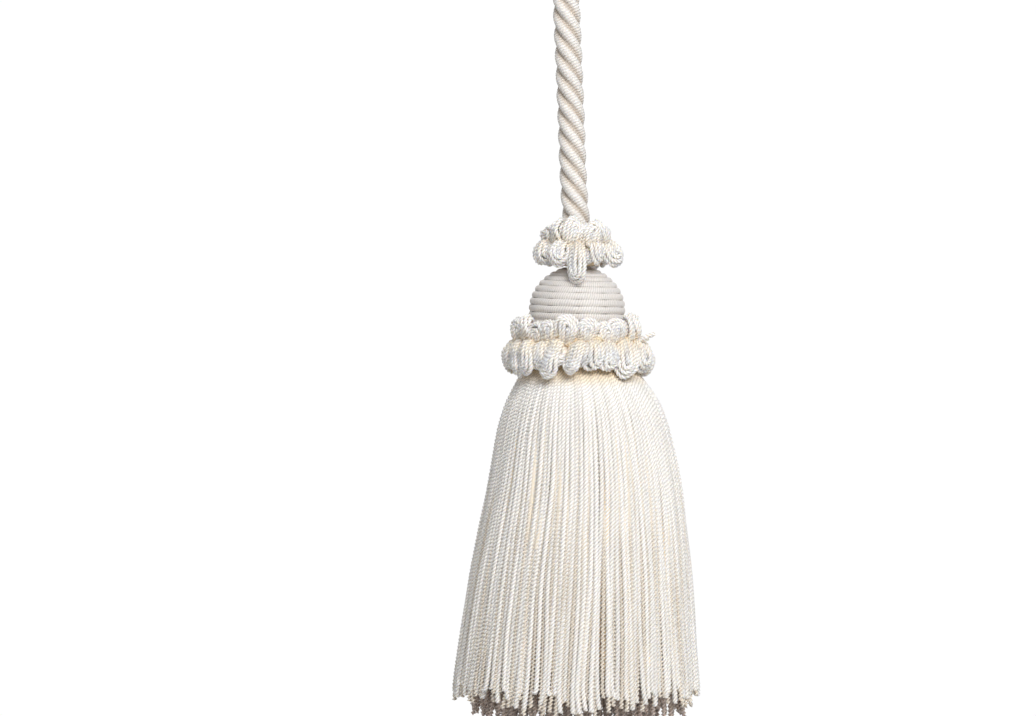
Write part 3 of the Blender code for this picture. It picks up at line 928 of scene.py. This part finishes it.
def petal_lines(rows):
    """The threads of every petal, nested round its tip."""
    ruff = settings().ruff
    noise.seed_set(WANDER_SEED)
    lines = []
    for row, sections in rows.items():
        chance = random.Random(row.seed)
        knots = [Vector((middle.radius, 0.0, middle.z)) for middle in sections]
        middle_line = even_points(smooth_line(knots, parts=16), step=0.0004)
        upward = 1.0 if knots[-1].z > knots[0].z else -1.0
        for number in range(row.first, row.count):
            angle = math.tau * ((number + row.turn) / row.count + chance.uniform(-0.006, 0.006))
            size = chance.uniform(0.86, 1.02)
            lean = chance.uniform(-1.0, 1.0) * ruff.lean
            roll = chance.uniform(-1.0, 1.0) * ruff.roll
            tint = chance.uniform(-1.0, 1.0)
            root = middle_line[0]
            half = row.width / 2 * chance.uniform(0.92, 1.14)
            curl = chance.uniform(-1.0, 1.0) * ruff.curl
            rise = chance.uniform(-1.0, 1.0) * ruff.curl * 0.5
            line = []
            for index, point in enumerate(middle_line):
                bend = (index / len(middle_line)) ** 2
                line.append(root + (point - root) * size + Vector((curl * bend, 0.0, rise * bend)))
            for share in PETAL_THREADS:
                thread = Thread(
                    share.aside + chance.uniform(-0.03, 0.03), share.out + chance.uniform(-0.04, 0.04)
                )
                points, deep = petal_thread(line, half, thread, lean, roll, angle, upward)
                points = [wandered(point, chance.uniform(0.0, 9.0)) for point in points]
                radii = [ruff.thread / 2] * len(points)
                shade = 0.8 + 0.6 * tint + 0.3 * chance.uniform(-1.0, 1.0)
                lines.append(Line(points, radii, shade, chance.uniform(0.0, math.tau), deep))
    return lines


def loose_lines(ends):
    """Cut ends of thread that stick out between the petals."""
    ruff = settings().ruff
    lines = []
    for end in ends:
        knots = [
            around(end.angle, end.radius - 0.0070, 0.0, end.z - end.rise),
            around(end.angle, end.radius - 0.0030, end.aside * 0.4, end.z - end.rise * 0.3),
            around(end.angle, end.radius, end.aside, end.z),
        ]
        points = even_points(smooth_line(knots, parts=8), step=0.0010)
        lines.append(even_line(points, ruff.thread * 0.42, shade=0.5))
    return lines


def band_lines(band):
    """Threads wound round the band, one above another, which show between the petals."""
    ruff = settings().ruff
    low = band.foot_z + ruff.thread / 2
    high = band.top_z - ruff.thread / 2
    packing = 0.85
    turns = round((high - low) / (ruff.thread * packing))
    steps = 48
    points = []
    for number in range(turns * steps + 1):
        height = high + (low - high) * number / (turns * steps)
        points.append(around(math.tau * number / steps, band.outer, 0.0, height))
    # Painted warm shade nearly all along, as the band lies under the petals
    return [even_line(points, ruff.thread / 2, deep=0.9)]


def turned_mesh(name, outline, steps):
    """A closed ring turned from an outline of radius and height pairs, with plain yarn attributes."""
    places = []
    faces = []
    count = len(outline)
    for column in range(steps):
        for radius, z in outline:
            places.append(around(math.tau * column / steps, radius, 0.0, z))
    for column in range(steps):
        after = (column + 1) % steps
        for index in range(count):
            following = (index + 1) % count
            faces.append((
                column * count + index, column * count + following,
                after * count + following, after * count + index,
            ))
    mesh = bpy.data.meshes.new(name)
    mesh.from_pydata(places, [], faces)
    for key in ("core", "along", "around", "shade"):
        mesh.attributes.new(key, "FLOAT", "POINT")
    # Painted warm shade all over, as the ring lies under the petals or the strands
    set_values(mesh, deep=[1.0] * len(places))
    mesh.shade_smooth()
    return mesh


def make_ruff(name, rows, band, ends):
    """The petals of a ruff, with the sewn band that they spring from."""
    ruff = settings().ruff
    # The groove colour paints shade between the plies of each thread
    material = yarn_material(name + " yarn", glow=0.45, crest=ruff.crest, groove=ruff.groove, **PLIED)
    lines = petal_lines(rows) + band_lines(band) + loose_lines(ends)
    mesh = lay_cords(
        name + "_loops", lines, material, plies=3, points_per_ply=2, ply_set=0.46, lay=ruff.lay,
        step=ruff.lay / 8,
    )
    finish_piece(name + "_loops", mesh, name)
    band_mesh = turned_mesh(name + "_band", band_outline(band), steps=64)
    band_mesh.materials.append(material)
    finish_piece(name + "_band", band_mesh, name)


def band_outline(band):
    """The section across a sewn band, anticlockwise as seen from -Y on the right."""
    inner, outer, top_z, foot_z = band
    edge = (outer - inner) / 4
    return [
        (inner, top_z), (inner, foot_z), (outer - edge, foot_z), (outer, foot_z + edge),
        (outer, top_z - edge), (outer - edge, top_z),
    ]


def hang_value(column, z):
    """One column of the skirt's table, read at a height."""
    for above, below in zip(SKIRT_HANG, SKIRT_HANG[1:]):
        if z >= below.z:
            share = (z - above.z) / (below.z - above.z)
            return getattr(above, column) * (1 - share) + getattr(below, column) * share
    return getattr(SKIRT_HANG[-1], column)


def strand_angles(count, seed):
    """Round the skirt, where each outer strand lies at each height of the table."""
    skirt = settings().skirt
    chance = random.Random(seed)
    top_z = SKIRT_HANG[0].z
    angles = []
    for number in range(count):
        base = math.tau * (number + chance.uniform(-0.10, 0.10)) / count
        drift = chance.gauss(0.0, 0.45)
        beat = chance.uniform(0.8, 1.9)
        start = chance.uniform(0.0, math.tau)
        course = []
        for hang in SKIRT_HANG:
            down = (top_z - hang.z) / (top_z - HEM_Z["outer"])
            wave = math.sin(start + math.tau * beat * down)
            where = Vector((math.cos(base) * CLUMPS_ROUND, math.sin(base) * CLUMPS_ROUND, 0.0))
            where.z = hang.z * CLUMPS_DOWN
            across = down**1.5 * drift + WAVE_SHARE * down * wave + CLUMP_SHARE * down * noise.noise(where)
            course.append(base + skirt.sway * across / hang.outer)
        angles.append(course)
    return angles


def between(angles):
    """Courses that run midway between each course and the next."""
    following = angles[1:] + [[angle + math.tau for angle in angles[0]]]
    return [[(a + b) / 2 for a, b in zip(one, other)] for one, other in zip(angles, following)]


def strand_lines(layer, angles, seed, start_z, end_z, deep, share=1.0, drop=0.0, dim=0.0, stagger=0.0):
    """The strands of one layer, from one height down to the hem or to another height.

    They hang at a share of the layer's radius, end by a drop below its hem, are dimmed by painted shade and
    given painted warm shade as told, and begin above and below the first height by the stagger.
    """
    skirt = settings().skirt
    chance = random.Random(seed)
    top_z = SKIRT_HANG[0].z
    lines = []
    for course in angles:
        hem_z = max(end_z, HEM_Z[layer] - drop + chance.uniform(-1.0, 1.0) * HEM_SCATTER[layer])
        lift = chance.gauss(0.0, 0.5)
        start = chance.uniform(0.0, math.tau)
        curl = chance.uniform(0.0, math.tau)
        curl_size = max(0.0, chance.gauss(0.3, 0.5)) * (INNER_CURL if layer == "inner" else 1.0)
        stops = [(hang.z, angle) for hang, angle in zip(SKIRT_HANG, course) if hang.z > hem_z + 0.002]
        begin_z = start_z + chance.uniform(-1.0, 1.0) * stagger
        begin = [index for index, stop in enumerate(stops) if stop[0] <= begin_z]
        if stagger and begin[0] > 0:
            stops[begin[0] - 1] = (begin_z, stops[begin[0] - 1][1])
            begin.insert(0, begin[0] - 1)
        stops = [stops[index] for index in begin]
        stops += [(hem_z + STRAND_TIP, course[len(stops)]), (hem_z, course[len(stops)])]
        points = []
        radii = []
        for z, angle in stops:
            down = (top_z - z) / (top_z - HEM_Z[layer])
            near_hem = max(0.0, 1.0 - (z - hem_z) / HEM_CURL_REACH) ** 2
            across = HEM_CURL * near_hem * curl_size * math.cos(curl)
            ripple = RIPPLE_SHARE * (lift + math.cos(start + 9.0 * down))
            out = skirt.sway * ripple * min(1.0, 4.0 * down)
            out += HEM_CURL * near_hem * curl_size * math.sin(curl)
            place = around(angle, hang_value(layer, z) * share + out, across, z)
            points.append(place + Vector((hang_value("aside", z), 0.0, 0.0)))
            radii.append(skirt.strand / 2 * (0.94 if z > -0.2 else 1.0))
        radii[-1] *= 0.7
        phase = chance.uniform(0.0, math.tau)
        # Painted warm shade: the layer's own, and more towards the top, under the lower ruff
        deep_shades = [max(deep, min(0.9, (point.z - WARM_SHADE_Z) / WARM_SHADE_REACH)) for point in points]
        lines.append(Line(points, radii, dim + chance.uniform(-1.0, 1.0), phase, deep_shades))
    return lines


def make_skirt():
    """Three twisted layers, the plain strands that close them, and the bound root."""
    skirt = settings().skirt
    # The groove colour paints shade between the plies of each strand
    material = yarn_material("bullion yarn", **PLIED)
    # The inner strands' material paints a greyer shade for the inside of the hem
    shaded = yarn_material("shaded bullion yarn", deep=(*settings().yarn.shaded, 1.0), **PLIED)
    make = {"plies": 3, "points_per_ply": 2, "ply_set": 0.46, "lay": skirt.lay, "step": skirt.lay / 8}
    back = {**make, "plies": 2, "ply_set": 0.42, "lay": skirt.lay * 2 / 3, "step": skirt.lay / 7}
    root = 0.0
    hem = -1.0
    outer_angles = strand_angles(skirt.outer, OUTER_SEED)
    second_angles = between(outer_angles)
    # The deep numbers paint warm shade on the layers behind the outer one, and dim paints shade on them
    outer = strand_lines("outer", outer_angles, OUTER_SEED, root, hem, deep=0.0)
    second = strand_lines(
        "second", second_angles, SECOND_SEED, SECOND_START_Z, hem, deep=0.36, stagger=SECOND_STAGGER,
    )
    upper = strand_lines(
        "second", second_angles, SECOND_SEED, root, SECOND_PLAIN_END_Z, deep=0.50, share=0.986, dim=-1.5,
    )
    thin_backing = strand_lines(
        "second", outer_angles, BACKING_SEED, root, BACKING_END_Z, deep=1.0, share=0.955,
    )
    backing = [line._replace(radii=[radius * 1.7 for radius in line.radii]) for line in thin_backing]
    inner = []
    for fill in SKIRT_FILL:
        angles = strand_angles(fill.count, fill.seed)
        start_z = INNER_START_Z if fill.share == 1.0 else FILL_START_Z
        end_z = start_z - PLAIN_OVERLAP
        more = {"share": fill.share, "drop": fill.drop, "dim": fill.shade}
        inner += strand_lines("inner", angles, fill.seed, start_z, hem, deep=1.0, **more)
        upper += strand_lines("inner", angles, fill.seed, root, end_z, deep=0.9, **more)
    plain = {**make, "plies": 1, "points_per_ply": 5, "ply_set": 0.0, "step": 0.007}
    layers = [
        ("skirt_outer_1", outer[0::3], material, make),
        ("skirt_outer_2", outer[1::3], material, make),
        ("skirt_outer_3", outer[2::3], material, make),
        ("skirt_second_1", second[0::2], material, back),
        ("skirt_second_2", second[1::2], material, back),
        ("skirt_inner", inner, shaded, back),
        ("skirt_upper", upper + backing, material, plain),
    ]
    for name, lines, yarn, how in layers:
        finish_piece(name, lay_cords(name, lines, yarn, **how), "skirt")
    root_mesh = turned_mesh("skirt_root", ROOT_OUTLINE, steps=64)
    root_mesh.materials.append(material)
    finish_piece("skirt_root", root_mesh, "skirt")


def make_floor():
    """A pale floor that the camera sees as white, and that gives some light back."""
    size = FLOOR_SIZE
    z = SKIRT_LOW.z - settings().stage.floor_drop
    mesh = bpy.data.meshes.new("floor")
    corners = [(-size, -size, z), (size, -size, z), (size, size, z), (-size, size, z)]
    mesh.from_pydata(corners, [], [(0, 1, 2, 3)])
    material = bpy.data.materials.new("pale floor")
    material.use_nodes = True
    shader = material.node_tree.nodes["Principled BSDF"]
    shader.inputs["Roughness"].default_value = 1.0
    shader.inputs["Specular IOR Level"].default_value = 0.0
    shader.inputs["Emission Color"].default_value = (1.0, 1.0, 1.0, 1.0)
    tree = material.node_tree
    seen = tree.nodes.new("ShaderNodeLightPath").outputs["Is Camera Ray"]
    tree.links.new(calc(tree, "MULTIPLY", seen, SEEN_WHITE), shader.inputs["Emission Strength"])
    feeds = {0: seen, 6: (0.6, 0.6, 0.6, 1.0), 7: (0.0, 0.0, 0.0, 1.0)}
    shown = add(tree, "ShaderNodeMix", feeds, data_type="RGBA").outputs[2]
    tree.links.new(shown, shader.inputs["Base Color"])
    mesh.materials.append(material)
    floor = bpy.data.objects.new("floor", mesh)
    bpy.context.scene.collection.objects.link(floor)


def make_light(lamp, watts):
    data = bpy.data.lights.new(lamp.name, "AREA")
    data.energy = watts
    data.shape = "DISK"
    data.size = lamp.size
    light = bpy.data.objects.new(lamp.name, data)
    bpy.context.scene.collection.objects.link(light)
    light.location = (lamp.x, lamp.y, lamp.z)
    light.rotation_euler = (LAMP_TARGET - light.location).to_track_quat("-Z", "Y").to_euler()


def make_surround():
    """A white surround: the camera sees it full, and it lights the piece by its own strength."""
    world = bpy.context.scene.world or bpy.data.worlds.new("surround")
    bpy.context.scene.world = world
    world.use_nodes = True
    tree = world.node_tree
    tree.nodes.clear()
    seen = tree.nodes.new("ShaderNodeLightPath").outputs["Is Camera Ray"]
    surround = settings().stage.surround
    strength = calc(tree, "MULTIPLY_ADD", seen, SEEN_WHITE - surround, surround)
    feeds = {"Color": (1.0, 1.0, 1.0, 1.0), "Strength": strength}
    background = add(tree, "ShaderNodeBackground", feeds)
    end = tree.nodes.new("ShaderNodeOutputWorld")
    tree.links.new(background.outputs[0], end.inputs["Surface"])


def make_camera():
    data = bpy.data.cameras.new("camera")
    data.sensor_width = SENSOR_WIDTH
    data.lens = LENS
    camera = bpy.data.objects.new("camera", data)
    bpy.context.scene.collection.objects.link(camera)
    target = Vector((
        (PICTURE_WIDTH / 2 - AXIS_PIXEL_X) * PIXEL_SIZE, 0.0, VIEW_TOP_Z - PICTURE_HEIGHT / 2 * PIXEL_SIZE,
    ))
    distance = PICTURE_WIDTH * PIXEL_SIZE * LENS / SENSOR_WIDTH
    away = Vector((0.0, -math.cos(CAMERA_ELEVATION), math.sin(CAMERA_ELEVATION)))
    camera.location = target + away * distance
    camera.rotation_euler = (-away).to_track_quat("-Z", "Y").to_euler()
    bpy.context.scene.camera = camera


class TASSEL_OT_stage(bpy.types.Operator):
    """Add the camera, the floor and the studio light"""

    bl_idname = "tassel.stage"
    bl_label = "Stage"

    def execute(self, context):
        stage = settings().stage
        make_camera()
        make_floor()
        make_surround()
        for lamp in LAMPS:
            make_light(lamp, getattr(stage, lamp.name + "_power"))
        context.scene.view_settings.view_transform = "Standard"
        context.scene.cycles.diffuse_bounces = 8
        return {"FINISHED"}


class TASSEL_OT_rope(bpy.types.Operator):
    """Lay the rope and bind its eye"""

    bl_idname = "tassel.rope"
    bl_label = "Rope"

    def execute(self, context):
        strands, points = make_rope()
        whipping = make_whipping()
        return {"FINISHED"}


class TASSEL_OT_head(bpy.types.Operator):
    """Wind the head with gimp"""

    bl_idname = "tassel.head"
    bl_label = "Head"

    def execute(self, context):
        make_head()
        return {"FINISHED"}


class TASSEL_OT_ruffs(bpy.types.Operator):
    """Sew on the two looped ruffs"""

    bl_idname = "tassel.ruffs"
    bl_label = "Ruffs"

    def execute(self, context):
        make_ruff("top_ruff", TOP_ROWS, TOP_BAND, [])
        make_ruff("lower_ruff", LOWER_ROWS, LOWER_BAND, LOOSE_ENDS)
        return {"FINISHED"}


class TASSEL_OT_skirt(bpy.types.Operator):
    """Hang the bullion skirt"""

    bl_idname = "tassel.skirt"
    bl_label = "Skirt"

    def execute(self, context):
        make_skirt()
        return {"FINISHED"}


class TASSEL_PT_panel(bpy.types.Panel):
    """The tassel's steps, in order"""

    bl_idname = "TASSEL_PT_panel"
    bl_label = "Tassel"
    bl_space_type = "VIEW_3D"
    bl_region_type = "UI"
    bl_category = "Tassel"

    def draw(self, context):
        for step in STEPS:
            self.layout.operator(step.bl_idname)


STEPS = (TASSEL_OT_stage, TASSEL_OT_rope, TASSEL_OT_head, TASSEL_OT_ruffs, TASSEL_OT_skirt)
CLASSES = (
    YarnSettings, RopeSettings, HeadSettings, RuffSettings, SkirtSettings, StageSettings, TasselSettings,
    *STEPS, TASSEL_PT_panel,
)


def register():
    for item in CLASSES:
        bpy.utils.register_class(item)
    bpy.types.Scene.tassel_yarns = PointerProperty(type=TasselSettings)


def unregister():
    del bpy.types.Scene.tassel_yarns
    for item in reversed(CLASSES):
        bpy.utils.unregister_class(item)


def main():
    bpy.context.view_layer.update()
    register()
    bpy.ops.tassel.stage()
    bpy.ops.tassel.rope()
    bpy.ops.tassel.head()
    bpy.ops.tassel.ruffs()
    bpy.ops.tassel.skirt()


if __name__ == "__main__":
    main()
